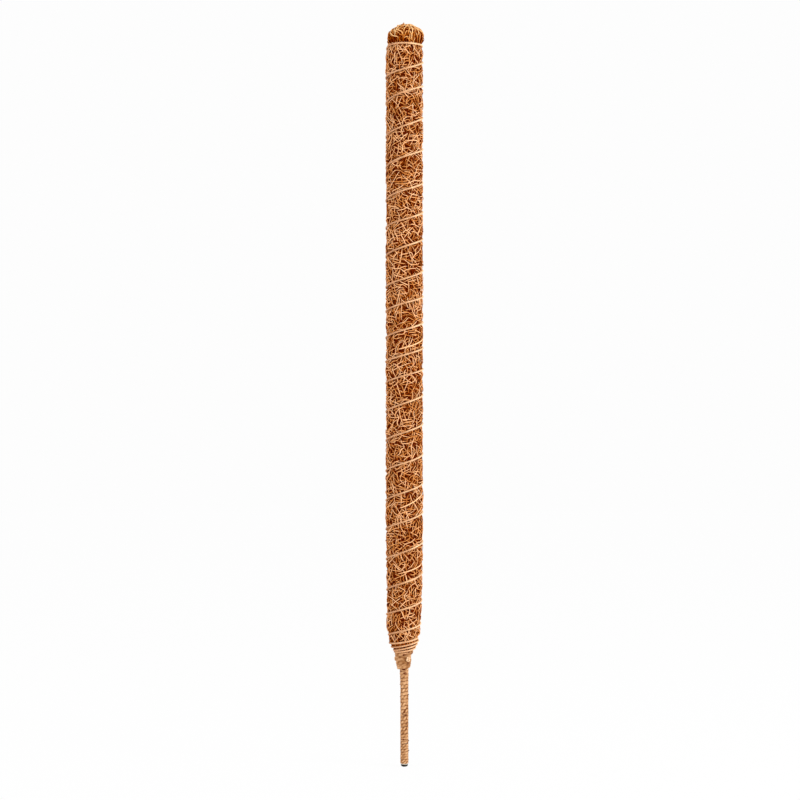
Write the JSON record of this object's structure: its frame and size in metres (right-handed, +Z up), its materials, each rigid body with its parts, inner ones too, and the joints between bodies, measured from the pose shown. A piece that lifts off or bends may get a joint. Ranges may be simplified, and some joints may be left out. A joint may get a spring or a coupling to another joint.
{
  "type": "moss pole",
  "caption": "Upright coir pole for climbing plants: a fibre column bound by spiral twine on a slim cord-wrapped stake that pushes into the pot.",
  "frame": {"origin": "middle of the flat foot of the stake's end cap", "axes": "+Z up along the pole, -Y the pictured front, +X to the right seen from the front"},
  "size_m": [0.0494, 0.0509, 1],
  "materials": {
    "steel": "galvanised, dull",
    "plastic": "moulded, dark brown",
    "packed_coir": "matted coconut fibre",
    "coir": "tangled coconut fibre",
    "twine": "twisted natural twine",
    "cord": "soft natural cord, wound flat"
  },
  "bodies": {
    "root": {"stake_tube": "steel", "stake_end_cap": "plastic", "stake_top_plug": "plastic", "coir_inner_mat": "packed_coir", "coir_outer_mat": "coir", "coir_head": "coir", "spiral_twine": "twine", "top_knot": "twine", "gather_twine": "twine", "neck_whipping": "twine", "neck_knot": "twine", "stake_wrap_upper": "cord", "stake_wrap_lower": "cord"}
  },
  "joints": []
}
